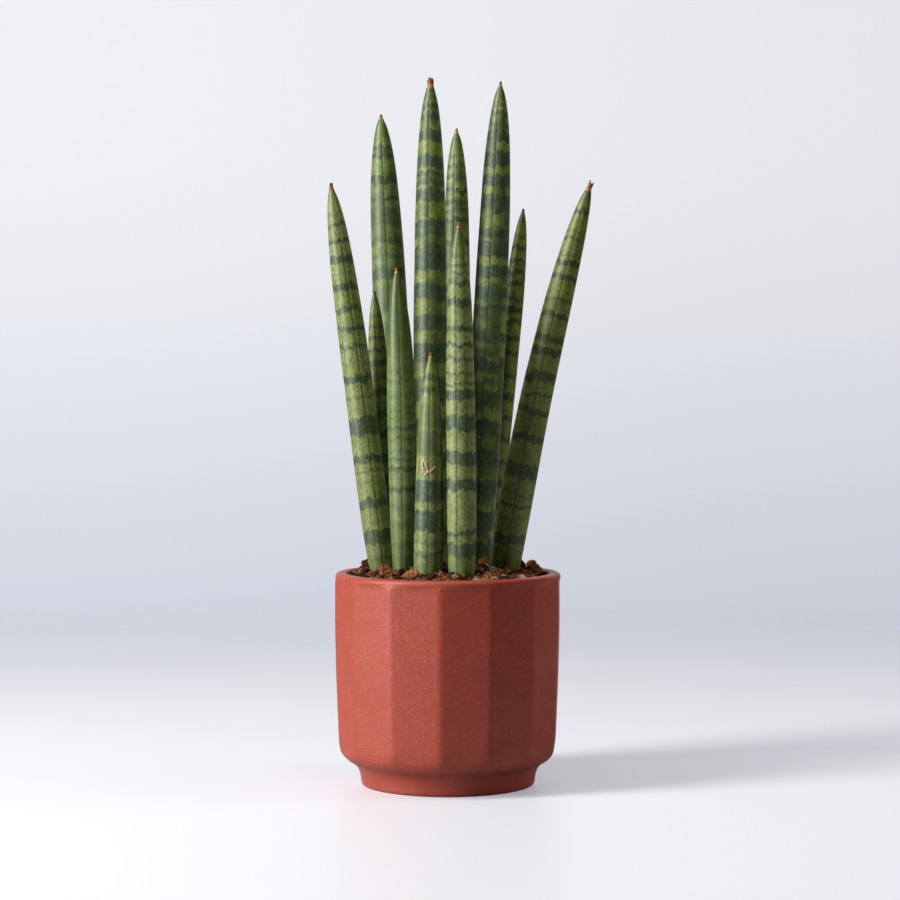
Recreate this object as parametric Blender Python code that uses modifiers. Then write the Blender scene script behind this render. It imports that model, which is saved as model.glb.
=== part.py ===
"""Cylindrical snake plant: eleven spear leaves in coarse potting mix, in a fourteen-sided clay pot.

Metres, +Z up. The origin is the middle of the pot's base, and -Y is the side that faces the viewer.
"""

import math
import random
from typing import NamedTuple

import bmesh
import bpy
from mathutils import Matrix, Vector

# Pot
POT_HEIGHT = 0.1413
POT_RADIUS = 0.0750          # of the round lip, and of the body before it is faceted
WALL_INNER_RADIUS = 0.0675
LIP_ROUND = 0.0030           # outer rounding of the lip
LIP_INNER_ROUND = 0.0012
FACETS = 14
FACET_TURN = math.radians(-93.9)   # direction of one facet corner, just left of the front
CORNER_SHARE = 1.012         # a corner stands out this much from the round, and a flat lies as far inside
FACET_TOP = 0.1390           # the flats run out in the lip between these two heights
FACET_FULL = 0.1345
BODY_FULL = 0.0255           # and in the roll to the foot between these two
BODY_BOTTOM = 0.0175
FLOOR_HEIGHT = 0.0200
FLOOR_ROUND = 0.0140         # inner radius between wall and floor
POT_STEPS = FACETS * 4

# Potting mix
GAP = 0.0003                 # between pieces that touch
MIX_CROWN = 0.0036           # the mix stands this far above the lip in the middle
MIX_EDGE = -0.0020           # and this far below it at the wall
CROWN_STEPS = 4
CHUNKS = 60
CHUNK_SIZES = (0.0028, 0.0052)
CHUNK_SIDE = 1.35            # side of the block that a chunk starts as, in chunk sizes
CHUNK_FROM_WALL = 1.5        # least distance of its middle from the wall, in chunk sizes
CHUNK_FROM_LEAF = 0.7        # and from a leaf's skin
CHUNK_CROWDING = 0.8         # share of two chunks' sizes that must lie between their middles
CHUNK_SEED = 11

# Leaves
MIX_PLANE = POT_HEIGHT       # the height at which a leaf's root position is given
ROOT_DEPTH = 0.038           # how far a leaf reaches down into the mix
ROOT_ROUND = 0.012           # length of its rounded lower end
ROOT_BLUNT = 0.08            # squared share of the radius that is left at that end
GROOVE_DEPTH = 0.00045
GROOVE_FADE = 0.030          # length over which the grooves die out at the tip
TAPER_POWER = 1.7
AXIS_STEP = 0.01             # share of the axis over which its direction is taken
ROUNDED_RINGS = (1.0, 0.93, 0.55, 0.0)   # rings in the rounded lower end, from its tip up
RINGS_ABOVE = 13
RING_CROWDING = 1.6          # rings above the mix crowd towards the tip
SIDES_PER_RIB = 3
DRY_TIP = 0.0045             # length of the dried brown point


class Leaf(NamedTuple):
    """One spear leaf. All lengths in metres."""

    root: tuple        # x and y where the axis leaves the mix
    tip: tuple         # x, y and z of the point
    bow: float         # how far the middle of the axis lies to the right of a straight line
    girth: float       # radius that the taper grows towards
    taper: float       # length that sets how fast it grows from the tip
    neck: float        # share of the radius that is missing at the mix
    neck_height: float
    blunt: float       # radius at the point
    ribs: int
    turn: float        # degrees that the grooves are turned about the axis


LEAVES = {
    "leaf_01": Leaf((-0.0445, 0.0080), (-0.0780, 0.0040, 0.4000), 0.0010,
                    girth=0.0106, taper=0.047, neck=0.27, neck_height=0.025, blunt=0.0006, ribs=6, turn=16),
    "leaf_02": Leaf((-0.0318, 0.0440), (-0.0460, 0.0560, 0.4505), 0.0005,
                    girth=0.0132, taper=0.050, neck=0.22, neck_height=0.030, blunt=0.0008, ribs=7, turn=41),
    "leaf_03": Leaf((-0.0400, 0.0245), (-0.0498, 0.0285, 0.3290), 0.0000,
                    girth=0.0088, taper=0.043, neck=0.20, neck_height=0.030, blunt=0.0005, ribs=6, turn=35),
    "leaf_04": Leaf((-0.0302, -0.0050), (-0.0340, -0.0100, 0.3430), 0.0014,
                    girth=0.0127, taper=0.055, neck=0.50, neck_height=0.070, blunt=0.0006, ribs=6, turn=30),
    "leaf_05": Leaf((-0.0118, 0.0200), (-0.0118, 0.0220, 0.4715), 0.0000,
                    girth=0.0124, taper=0.058, neck=0.12, neck_height=0.030, blunt=0.0012, ribs=7, turn=47),
    "leaf_06": Leaf((-0.0128, -0.0290), (-0.0113, -0.0320, 0.2870), 0.0002,
                    girth=0.0116, taper=0.060, neck=0.06, neck_height=0.030, blunt=0.0005, ribs=6, turn=33),
    "leaf_07": Leaf((0.0065, 0.0520), (0.0058, 0.0620, 0.4415), 0.0000,
                    girth=0.0103, taper=0.041, neck=0.22, neck_height=0.030, blunt=0.0007, ribs=6, turn=44),
    "leaf_08": Leaf((0.0088, -0.0310), (0.0069, -0.0360, 0.3715), 0.0003,
                    girth=0.0108, taper=0.047, neck=0.15, neck_height=0.020, blunt=0.0005, ribs=6, turn=46),
    "leaf_09": Leaf((0.0188, 0.0285), (0.0356, 0.0380, 0.4710), 0.0009,
                    girth=0.0123, taper=0.053, neck=0.25, neck_height=0.030, blunt=0.0007, ribs=7, turn=48),
    "leaf_10": Leaf((0.0255, 0.0490), (0.0518, 0.0620, 0.3865), 0.0000,
                    girth=0.0086, taper=0.045, neck=0.25, neck_height=0.030, blunt=0.0006, ribs=6, turn=36),
    "leaf_11": Leaf((0.0375, -0.0050), (0.0940, -0.0080, 0.3990), -0.0046,
                    girth=0.0123, taper=0.075, neck=0.22, neck_height=0.025, blunt=0.0014, ribs=6, turn=36),
}


def clear_scene():
    for thing in list(bpy.data.objects):
        bpy.data.objects.remove(thing, do_unlink=True)


def make_collection(name):
    collection = bpy.data.collections.new(name)
    bpy.context.scene.collection.children.link(collection)
    return collection


def make_material(name, color, roughness):
    material = bpy.data.materials.new(name)
    material.use_nodes = True
    shader = material.node_tree.nodes["Principled BSDF"]
    shader.inputs["Base Color"].default_value = (*color, 1.0)
    shader.inputs["Roughness"].default_value = roughness
    shader.inputs["Metallic"].default_value = 0.0
    material.diffuse_color = (*color, 1.0)
    return material


def add_mesh_object(name, mesh, collection, materials=()):
    thing = bpy.data.objects.new(name, mesh)
    collection.objects.link(thing)
    for material in materials:
        mesh.materials.append(material)
    return thing


def baked(thing):
    """The object with its modifiers applied."""
    evaluated = thing.evaluated_get(bpy.context.evaluated_depsgraph_get())
    mesh = bpy.data.meshes.new_from_object(evaluated)
    thing.modifiers.clear()
    thing.data = mesh
    return thing


def smoothstep(low, high, value):
    share = min(max((value - low) / (high - low), 0.0), 1.0)
    return share * share * (3.0 - 2.0 * share)


def arc(center, radius, start, end, steps):
    """Points of an arc in the X-Z plane, its angles in degrees."""
    points = []
    for step in range(steps + 1):
        angle = math.radians(start + (end - start) * step / steps)
        points.append((center[0] + radius * math.cos(angle), center[1] + radius * math.sin(angle)))
    return points


def turned(name, profile, collection, materials):
    """A profile of (radius, height) points turned about Z, one step on each facet corner."""
    mesh = bpy.data.meshes.new(name)
    points = [(radius, 0.0, height) for radius, height in profile]
    mesh.from_pydata(points, [(i, i + 1) for i in range(len(points) - 1)], [])
    thing = add_mesh_object(name, mesh, collection, materials)
    screw = thing.modifiers.new("turn", "SCREW")
    screw.steps = POT_STEPS
    screw.render_steps = POT_STEPS
    screw.use_merge_vertices = True
    screw.merge_threshold = 0.00001
    baked(thing)
    thing.data.transform(Matrix.Rotation(FACET_TURN, 4, "Z"))
    return thing


def inner_profile(gap):
    """Inside of the pot from the middle of the floor up to the lip, moved in by a gap."""
    wall = WALL_INNER_RADIUS - gap
    floor = FLOOR_HEIGHT + gap
    turn = FLOOR_ROUND - gap
    return [(0.0, floor)] + arc((wall - turn, floor + turn), turn, -90.0, 0.0, 3)


def pot_profile():
    """Half section of the pot, up its inside, over the lip and down its outside."""
    inside = inner_profile(0.0) + [(WALL_INNER_RADIUS, 0.080)]
    lip_inner = arc((WALL_INNER_RADIUS + LIP_INNER_ROUND, POT_HEIGHT - LIP_INNER_ROUND), LIP_INNER_ROUND, 180, 90, 2)
    lip_outer = arc((POT_RADIUS - LIP_ROUND, POT_HEIGHT - LIP_ROUND), LIP_ROUND, 90, 0, 3)
    side = [(POT_RADIUS, FACET_FULL), (POT_RADIUS, 0.104), (0.0742, 0.070), (0.0726, 0.0300)]
    roll = [(0.0720, BODY_FULL), (0.0708, 0.0215), (0.0676, BODY_BOTTOM), (0.0632, 0.0147)]
    foot = [(0.0606, 0.0120), (0.0594, 0.0096), (0.0583, 0.0056), (0.0576, 0.0016), (0.0562, 0.0), (0.0, 0.0)]
    return inside + lip_inner + lip_outer + side + roll + foot


def flatten_facets(mesh):
    """Turn the round outer wall into fourteen flats, which run out below the lip and above the foot."""
    half = math.pi / FACETS
    outside = WALL_INNER_RADIUS + 0.0002
    for vertex in mesh.vertices:
        radius = math.hypot(vertex.co.x, vertex.co.y)
        if radius < outside:
            continue
        direction = math.atan2(vertex.co.y, vertex.co.x) - FACET_TURN
        from_middle = (direction % (2.0 * half)) - half
        flat = CORNER_SHARE * math.cos(half) / math.cos(from_middle)
        amount = 1.0 - smoothstep(FACET_FULL, FACET_TOP, vertex.co.z)
        amount *= smoothstep(BODY_BOTTOM, BODY_FULL, vertex.co.z)
        factor = 1.0 + (flat - 1.0) * amount
        vertex.co.x *= factor
        vertex.co.y *= factor


def build_pot(collection):
    clay = make_material("red_clay", (0.42, 0.12, 0.08), 0.55)
    pot = turned("pot", pot_profile(), collection, (clay,))
    flatten_facets(pot.data)
    pot.data.shade_smooth()
    pot.data.set_sharp_from_angle(angle=math.radians(20.0))
    return pot


def axis_point(leaf, share):
    """A point of the leaf's axis: share 0 at the mix, 1 at the tip, and below 0 under the mix."""
    root = Vector((*leaf.root, MIX_PLANE))
    straight = Vector(leaf.tip) - root
    bend = 4.0 * share * (1.0 - share) if share > 0.0 else 4.0 * share
    return root + straight * share + Vector((leaf.bow * bend, 0.0, 0.0))


def axis_length(leaf):
    return (Vector(leaf.tip) - Vector((*leaf.root, MIX_PLANE))).length


def leaf_radius(leaf, share):
    """Mean radius at a share of the axis: a spindle that swells from the tip and necks in at the mix."""
    length = axis_length(leaf)
    from_tip = (1.0 - share) * length
    height = max(share, 0.0) * length
    swell = 1.0 - (1.0 + from_tip / leaf.taper) ** -TAPER_POWER
    neck = 1.0 - leaf.neck * math.exp(-height / leaf.neck_height)
    radius = leaf.blunt + (leaf.girth - leaf.blunt) * swell * neck
    above_end = share * length + ROOT_DEPTH
    if above_end < ROOT_ROUND:
        radius *= math.sqrt(max(1.0 - (1.0 - above_end / ROOT_ROUND) ** 2, ROOT_BLUNT))
    return radius


def leaf_point(leaf, share, angle, swell):
    """A point of the leaf's skin. Grooves run its whole length and fade near the tip."""
    center = axis_point(leaf, share)
    along = (axis_point(leaf, share + AXIS_STEP) - axis_point(leaf, share - AXIS_STEP)).normalized()
    side = along.cross(Vector((0.0, -1.0, 0.0))).normalized()
    front = side.cross(along)
    from_tip = (1.0 - share) * axis_length(leaf)
    groove = max(math.cos(leaf.ribs * (angle - math.radians(leaf.turn))), 0.0)
    radius = leaf_radius(leaf, share) + swell
    radius -= GROOVE_DEPTH * groove * smoothstep(0.0, GROOVE_FADE, from_tip)
    return center + (side * math.cos(angle) + front * math.sin(angle)) * radius


def ring_shares(leaf):
    """Shares of the axis at which the leaf has a ring, closer together at both ends."""
    length = axis_length(leaf)
    rounded_top = (ROOT_ROUND - ROOT_DEPTH) / length
    shares = [rounded_top - ring * ROOT_ROUND / length for ring in ROUNDED_RINGS]
    for ring in range(RINGS_ABOVE + 1):
        even = ring / RINGS_ABOVE
        shares.append(1.0 - (1.0 - even) ** RING_CROWDING)
    return shares


def leaf_mesh(leaf, name, swell=0.0):
    """A capped cylinder, cut into rings and moved out to the leaf's skin."""
    shares = ring_shares(leaf)
    sides = leaf.ribs * SIDES_PER_RIB
    last = len(shares) - 1
    blank = bmesh.new()
    bmesh.ops.create_cone(blank, cap_ends=True, segments=sides, radius1=1.0, radius2=1.0, depth=1.0)
    uprights = [edge for edge in blank.edges if abs(edge.verts[0].co.z - edge.verts[1].co.z) > 0.5]
    bmesh.ops.subdivide_edges(blank, edges=uprights, cuts=last - 1)
    start = math.radians(leaf.turn)
    for vertex in blank.verts:
        ring = round((vertex.co.z + 0.5) * last)
        angle = start + math.atan2(vertex.co.x, vertex.co.y)
        vertex.co = leaf_point(leaf, shares[ring], angle, swell)
    bmesh.ops.recalc_face_normals(blank, faces=blank.faces)
    mesh = bpy.data.meshes.new(name)
    blank.to_mesh(mesh)
    blank.free()
    return mesh


def build_leaves(collection):
    skin = make_material("leaf_green", (0.10, 0.18, 0.07), 0.45)
    dry = make_material("dry_tip", (0.25, 0.08, 0.03), 0.80)
    for name, leaf in LEAVES.items():
        thing = add_mesh_object(name, leaf_mesh(leaf, name), collection, (skin, dry))
        tip = Vector(leaf.tip)
        for face in thing.data.polygons:
            face.material_index = 1 if (face.center - tip).length < DRY_TIP else 0
        thing.data.shade_smooth()
        thing.data.set_sharp_from_angle(angle=math.radians(50.0))


def mix_height(radius):
    """Height of the mix's domed surface at a distance from the pot's axis."""
    share = radius / WALL_INNER_RADIUS
    return POT_HEIGHT + MIX_CROWN + (MIX_EDGE - MIX_CROWN) * share * share


def mix_profile():
    """Half section of the mix: out along its crown, then down the pot's wall to the floor."""
    wall = WALL_INNER_RADIUS - GAP
    radii = [wall * step / CROWN_STEPS for step in range(CROWN_STEPS + 1)]
    crown = [(radius, mix_height(radius)) for radius in radii]
    return crown + inner_profile(GAP)[::-1]


def clear_of_leaves(x, y, size):
    """Is a chunk here outside every leaf?"""
    for leaf in LEAVES.values():
        apart = math.hypot(x - leaf.root[0], y - leaf.root[1])
        if apart < leaf_radius(leaf, 0.0) + CHUNK_FROM_LEAF * size:
            return False
    return True


def add_chunk(name, place, size, draw, collection):
    """A lump of bark or pumice: a small block with its corners pushed about."""
    lump = bmesh.new()
    bmesh.ops.create_cube(lump, size=CHUNK_SIDE * size)
    for vertex in lump.verts:
        vertex.co *= draw.uniform(0.75, 1.2)
    squash = Matrix.Diagonal((draw.uniform(0.9, 1.3), draw.uniform(0.7, 1.0), draw.uniform(0.6, 0.95), 1.0))
    tumble = Matrix.Rotation(draw.uniform(0.0, math.tau), 4, "Z") @ Matrix.Rotation(draw.uniform(0.3, 1.2), 4, "X")
    bmesh.ops.transform(lump, matrix=Matrix.Translation(place) @ tumble @ squash, verts=lump.verts)
    mesh = bpy.data.meshes.new(name)
    lump.to_mesh(mesh)
    lump.free()
    add_mesh_object(name, mesh, collection)


def scatter_chunks(collection):
    draw = random.Random(CHUNK_SEED)
    placed = []
    while len(placed) < CHUNKS:
        size = draw.uniform(*CHUNK_SIZES)
        radius = (WALL_INNER_RADIUS - 3.0 * GAP - CHUNK_FROM_WALL * size) * math.sqrt(draw.random())
        angle = draw.uniform(0.0, math.tau)
        x = radius * math.cos(angle)
        y = radius * math.sin(angle)
        gaps = [math.hypot(x - other[0], y - other[1]) - CHUNK_CROWDING * (size + other[2]) for other in placed]
        if min(gaps, default=0.0) < 0.0 or not clear_of_leaves(x, y, size):
            continue
        placed.append((x, y, size))
        height = mix_height(radius) + size * draw.uniform(0.0, 0.45)
        add_chunk(f"chunk_{len(placed):03d}", (x, y, height), size, draw, collection)


def apply_boolean(thing, operation, collection):
    """Join or cut with every object of a collection, then drop those objects."""
    boolean = thing.modifiers.new(operation.lower(), "BOOLEAN")
    boolean.operation = operation
    boolean.operand_type = "COLLECTION"
    boolean.collection = collection
    boolean.solver = "EXACT"
    baked(thing)
    for tool in list(collection.objects):
        bpy.data.objects.remove(tool, do_unlink=True)


def build_mix(collection, tools):
    bark = make_material("potting_mix", (0.16, 0.07, 0.035), 0.95)
    mix = turned("potting_mix", mix_profile(), collection, (bark,))
    scatter_chunks(tools)
    apply_boolean(mix, "UNION", tools)
    for name, leaf in LEAVES.items():
        add_mesh_object(f"socket_{name}", leaf_mesh(leaf, name, GAP), tools)
    apply_boolean(mix, "DIFFERENCE", tools)
    return mix


def main():
    clear_scene()
    plant = make_collection("cylindrical_snake_plant")
    tools = make_collection("tools")
    build_pot(plant)
    build_leaves(plant)
    build_mix(plant, tools)


main()
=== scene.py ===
"""Cylindrical snake plant in a fourteen-sided clay pot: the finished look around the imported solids.

Metres, +Z up. The origin is the middle of the pot's base, and -Y is the side that faces the camera.
"""

import math
import random
from functools import partial
from typing import NamedTuple

import bmesh
import bpy
from mathutils import Matrix, Vector, noise


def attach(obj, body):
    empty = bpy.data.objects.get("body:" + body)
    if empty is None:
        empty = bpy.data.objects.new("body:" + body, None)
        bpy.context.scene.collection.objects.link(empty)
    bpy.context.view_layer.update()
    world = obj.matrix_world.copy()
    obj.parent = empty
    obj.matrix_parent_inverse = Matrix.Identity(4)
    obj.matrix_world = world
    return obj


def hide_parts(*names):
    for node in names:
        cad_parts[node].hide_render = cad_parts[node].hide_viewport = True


# Pot, as in the solids
POT_HEIGHT = 0.1413
POT_RADIUS = 0.0750
WALL_INNER_RADIUS = 0.0675
LIP_ROUND = 0.0030
LIP_INNER_ROUND = 0.0012
FACETS = 14
FACET_TURN = math.radians(-93.9)
CORNER_SHARE = 1.012
FACET_TOP = 0.1390
FACET_FULL = 0.1345
BODY_FULL = 0.0255
BODY_BOTTOM = 0.0175
FLOOR_HEIGHT = 0.0200
FLOOR_ROUND = 0.0140
POT_STEPS = FACETS * 24
CORNER_SOFTNESS = math.radians(1.1)

# Potting mix, as in the solids
GAP = 0.0003
MIX_CROWN = 0.0036
MIX_EDGE = -0.0020

# Leaves, as in the solids
MIX_PLANE = POT_HEIGHT
ROOT_DEPTH = 0.038
ROOT_ROUND = 0.012
TAPER_POWER = 1.7

# Leaf skin
RINGS = 170
SIDES_PER_PANEL = 14
RING_CROWDING = 1.5           # rings crowd towards the tip
SIDE_CROWDING = 1.45          # and sides towards the grooves
VALLEY_DEPTH = 0.00020        # a groove is a soft valley with a fine crease along its bottom
CREASE_DEPTH = 0.00020
CREASE_WIDTH = 0.00060
GROOVE_FADE = 0.022
MAIN_GROOVE = 0.70            # strength of the groove in front
WAVER = 0.00022               # slow unevenness of the skin
THIN_LEAF = 0.006             # radius below which the grooves and the unevenness get smaller
POINT_ROUND = 0.0006          # length of the rounding at the very point
MILLIMETRE = 0.001


class Leaf(NamedTuple):
    """One spear leaf. All lengths in metres."""

    root: tuple        # x and y where the axis leaves the mix
    tip: tuple         # x, y and z of the point
    bow: float         # how far the middle of the axis lies to the right of a straight line
    girth: float       # radius that the taper grows towards
    taper: float       # length that sets how fast it grows from the tip
    neck: float        # share of the radius that is missing at the mix
    blunt: float       # radius at the point
    turn: float        # degrees that the grooves are turned about the axis
    ribs: int = 6
    neck_height: float = 0.030


LEAVES = {
    "leaf_01": Leaf((-0.0445, 0.0080), (-0.0780, 0.0040, 0.4000), 0.0010,
                    girth=0.0106, taper=0.047, neck=0.27, neck_height=0.025, blunt=0.0006, turn=16),
    "leaf_02": Leaf((-0.0318, 0.0440), (-0.0460, 0.0560, 0.4505), 0.0005,
                    girth=0.0132, taper=0.050, neck=0.22, blunt=0.0008, ribs=7, turn=41),
    "leaf_03": Leaf((-0.0400, 0.0245), (-0.0498, 0.0285, 0.3290), 0.0000,
                    girth=0.0088, taper=0.043, neck=0.20, blunt=0.0005, turn=35),
    "leaf_04": Leaf((-0.0302, -0.0050), (-0.0340, -0.0100, 0.3430), 0.0014,
                    girth=0.0127, taper=0.055, neck=0.50, neck_height=0.070, blunt=0.0006, turn=30),
    "leaf_05": Leaf((-0.0118, 0.0200), (-0.0118, 0.0220, 0.4715), 0.0000,
                    girth=0.0124, taper=0.058, neck=0.12, blunt=0.0012, ribs=7, turn=47),
    "leaf_06": Leaf((-0.0128, -0.0290), (-0.0113, -0.0320, 0.2870), 0.0002,
                    girth=0.0116, taper=0.060, neck=0.06, blunt=0.0005, turn=33),
    "leaf_07": Leaf((0.0065, 0.0520), (0.0058, 0.0620, 0.4415), 0.0000,
                    girth=0.0103, taper=0.041, neck=0.22, blunt=0.0007, turn=44),
    "leaf_08": Leaf((0.0088, -0.0310), (0.0069, -0.0360, 0.3715), 0.0003,
                    girth=0.0108, taper=0.047, neck=0.15, neck_height=0.020, blunt=0.0005, turn=46),
    "leaf_09": Leaf((0.0188, 0.0285), (0.0356, 0.0380, 0.4710), 0.0009,
                    girth=0.0123, taper=0.053, neck=0.25, blunt=0.0007, ribs=7, turn=48),
    "leaf_10": Leaf((0.0255, 0.0490), (0.0518, 0.0620, 0.3865), 0.0000,
                    girth=0.0086, taper=0.045, neck=0.25, blunt=0.0006, turn=36),
    "leaf_11": Leaf((0.0375, -0.0050), (0.0940, -0.0080, 0.3990), -0.0046,
                    girth=0.0123, taper=0.075, neck=0.22, neck_height=0.025, blunt=0.0014, turn=36),
}


# Colours of the leaves
PALE = (0.310, 0.365, 0.120)
YELLOW_GREEN = (0.260, 0.312, 0.068)
GREY_GREEN = (0.210, 0.280, 0.085)
SPRING_GREEN = (0.125, 0.175, 0.020)
MOSS = (0.052, 0.086, 0.007)
OLIVE = (0.055, 0.095, 0.010)
DEEP = (0.030, 0.056, 0.014)
BLUE_GREEN = (0.036, 0.072, 0.031)
RUST = (0.30, 0.090, 0.025)
DARK_RED = (0.13, 0.022, 0.012)
DARK_BROWN = (0.26, 0.095, 0.038)
TAN = (0.42, 0.19, 0.070)
PINK_ORANGE = (0.38, 0.115, 0.052)
FOOT_GREEN = (0.080, 0.140, 0.035)
# Painted shade: the dark green laid along the groove lines, for the shade in their creases
PAINTED_GROOVE_SHADE = (0.020, 0.036, 0.014)
SPECK = (0.50, 0.54, 0.36)
CRUST = (0.060, 0.020, 0.010)


class Marking(NamedTuple):
    """How one leaf is marked and how its point has dried. Lengths in metres."""

    seed: float
    step: float         # how far a band shifts from one panel to the next
    broken: float       # how much of the light between the bands is lost in patches
    plain: float        # length of the plain green at the tip
    light: tuple
    fresh: tuple        # the plain green
    dry: tuple          # colour at the dried point's end
    dry_length: float
    dry_bend: float     # sideways bend of the dried point
    dark: tuple = BLUE_GREEN
    nail: float = 0.0010    # radius of the dried point


MARKINGS = {
    "leaf_01": Marking(1.7, 0.0025, 0.10, 0.009, PALE, SPRING_GREEN, DARK_RED, 0.0046, 0.0004, nail=0.0013),
    "leaf_02": Marking(8.3, 0.0020, 0.45, 0.010, GREY_GREEN, SPRING_GREEN, RUST, 0.0034, 0.0002, nail=0.0011),
    "leaf_03": Marking(4.1, 0.002, 0.20, 0.008, YELLOW_GREEN, OLIVE, DARK_RED, 0.0026, -0.0002, DEEP, 0.0011),
    "leaf_04": Marking(5.9, 0.0030, 0.20, 0.052, GREY_GREEN, MOSS, TAN, 0.0032, -0.0002),
    "leaf_05": Marking(2.6, 0.0040, 0.45, 0.012, YELLOW_GREEN, OLIVE, DARK_BROWN, 0.0068, 0.0, nail=0.0021),
    "leaf_06": Marking(9.4, 0.0020, 0.25, 0.008, PALE, SPRING_GREEN, PINK_ORANGE, 0.0034, 0.0002),
    "leaf_07": Marking(6.2, 0.0030, 0.45, 0.010, YELLOW_GREEN, OLIVE, RUST, 0.0034, 0.0002),
    "leaf_08": Marking(3.3, 0.0025, 0.10, 0.016, PALE, OLIVE, PINK_ORANGE, 0.0034, -0.0002),
    "leaf_09": Marking(7.7, 0.0045, 0.55, 0.010, YELLOW_GREEN, OLIVE, RUST, 0.0038, 0.0001),
    "leaf_10": Marking(11.9, 0.0025, 0.30, 0.008, YELLOW_GREEN, OLIVE, DARK_RED, 0.0030, 0.0001, DEEP),
    "leaf_11": Marking(12.8, 0.0030, 0.25, 0.010, YELLOW_GREEN, OLIVE, RUST, 0.0050, 0.0006, DEEP, 0.0016),
}

# Dark bands that show: millimetres from the tip to the middle, half the width in millimetres, strength
BANDS = {
    "leaf_01": (
        (21, 1.0, 0.5), (28, 1.5, 0.6), (39.5, 1.5, 0.8), (51.5, 2.5, 0.7), (61, 1.0, 0.4), (70, 2.0, 0.8),
        (84, 2.0, 0.6), (97, 1.5, 0.7), (109, 1.5, 0.6), (121, 1.0, 0.4), (131.5, 2.5, 0.9), (144, 1.0, 0.5),
        (163, 6.0, 0.8), (185, 2.5, 0.8), (193, 1.0, 0.5), (201, 1.0, 0.4), (215, 3.0, 0.9), (228, 1.0, 0.4),
        (238, 4.0, 0.9), (251, 1.0, 0.5),
    ),
    "leaf_02": (
        (14, 1.0, 0.3), (23.5, 1.5, 0.6), (29.5, 1.2, 0.7), (45.5, 2.8, 0.7), (58.5, 1.0, 0.7),
        (71, 7.0, 0.5), (88, 2.0, 0.6), (98, 1.0, 0.5), (110.5, 4.5, 0.6), (130, 6.0, 0.5),
        (150, 5.0, 0.5), (172, 6.0, 0.5),
    ),
    "leaf_03": (
        (17, 1.0, 0.5), (24, 1.0, 0.6), (32, 1.5, 0.6), (40, 1.5, 0.6), (49, 2.0, 0.6), (58, 2.0, 0.5),
        (68, 3.0, 0.6),
    ),
    "leaf_04": (
        (68, 1.5, 0.4), (74, 1.0, 0.5), (84, 1.5, 0.4), (93, 1.0, 0.5), (98, 0.8, 0.5), (106, 1.5, 0.6),
        (113, 1.0, 0.5), (121, 1.0, 0.5), (126.5, 0.8, 0.6), (133, 1.5, 0.7), (146, 1.5, 0.7),
        (158, 2.0, 0.4), (168, 2.0, 0.4),
    ),
    "leaf_05": (
        (13, 1.0, 0.4), (19, 2.0, 0.8), (26, 2.5, 0.9), (39.5, 3.5, 0.9), (56, 4.0, 0.95), (64.5, 1.5, 0.8),
        (70, 2.0, 0.8), (79, 4.0, 1.0), (100.5, 5.5, 1.0), (121, 8.0, 1.0), (144.5, 5.5, 0.9),
        (165, 5.0, 0.9), (185, 6.0, 0.9), (210, 8.0, 0.9), (235, 6.0, 0.9),
    ),
    "leaf_06": (
        (15.5, 2.5, 0.6), (24, 2.0, 0.6), (40, 8.0, 0.4), (58, 8.0, 0.5), (90, 7.0, 0.85), (109, 7.0, 0.85),
        (123, 1.2, 0.5), (130.5, 1.5, 0.6), (139, 2.0, 0.3),
    ),
    "leaf_07": (
        (19, 1.5, 0.5), (26, 1.5, 0.6), (34, 2.0, 0.6), (43.5, 1.5, 0.9), (51, 1.2, 0.9), (56, 1.0, 0.7),
        (64, 2.0, 0.7),
    ),
    "leaf_08": (
        (20.5, 1.5, 0.5), (27, 1.0, 0.6), (32, 1.0, 0.6), (39, 2.0, 0.6), (51.5, 2.5, 0.7), (68.5, 1.8, 0.8),
        (79.5, 1.5, 0.7), (88.5, 1.2, 0.6), (98, 1.0, 0.6), (104.5, 1.0, 0.6), (111.5, 3.0, 0.8),
        (129.5, 5.0, 0.95), (152.5, 4.0, 0.95), (170.5, 3.5, 0.95), (185, 1.5, 0.3), (201.5, 1.5, 0.7),
        (212.5, 4.5, 0.95),
    ),
    "leaf_09": (
        (17, 1.5, 0.5), (22.5, 1.5, 0.7), (28.5, 1.0, 0.6), (37.5, 3.5, 0.9), (53, 5.0, 1.0),
        (67.5, 3.5, 0.9), (82.5, 5.5, 0.95), (102.5, 2.5, 0.9), (113, 5.0, 0.95), (128, 4.0, 1.0),
        (143, 4.0, 0.95), (153.5, 1.8, 0.95), (173, 3.0, 0.9), (192, 5.0, 0.8), (215, 6.0, 0.8),
    ),
    "leaf_10": (
        (19, 1.0, 0.6), (27.5, 1.5, 0.8), (37, 1.2, 0.7), (45.5, 1.5, 0.7), (53, 1.5, 0.7), (64, 1.5, 0.6),
        (71, 2.0, 0.8), (79, 1.5, 0.7), (90, 2.0, 0.6), (101, 2.0, 0.6), (115, 2.0, 0.6), (130, 2.0, 0.6),
        (145, 2.0, 0.6),
    ),
    "leaf_11": (
        (19, 1.5, 0.8), (24.5, 0.8, 0.4), (33, 1.0, 0.5), (38, 1.2, 0.6), (49, 1.0, 0.5), (55, 2.0, 0.8),
        (64.5, 1.5, 0.9), (79, 1.2, 0.6), (90, 2.0, 0.7), (105.5, 2.5, 0.8), (114.5, 2.5, 0.8),
        (131, 3.5, 0.7), (143, 1.0, 0.6), (153.5, 1.5, 0.9), (171.5, 2.5, 0.7), (193.5, 4.5, 0.8),
        (209, 1.0, 0.5), (217, 1.2, 0.6), (226, 0.8, 0.4), (241.5, 3.5, 0.9), (248.5, 0.8, 0.5),
    ),
}
HIDDEN_SPACING = 15.0         # millimetres, at least, from band to band where other leaves hide a leaf


class Splinter(NamedTuple):
    """A lobe of a torn dry tip, in metres from the leaf's point and along its axis."""

    foot: tuple
    end: tuple
    radius: float


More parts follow.
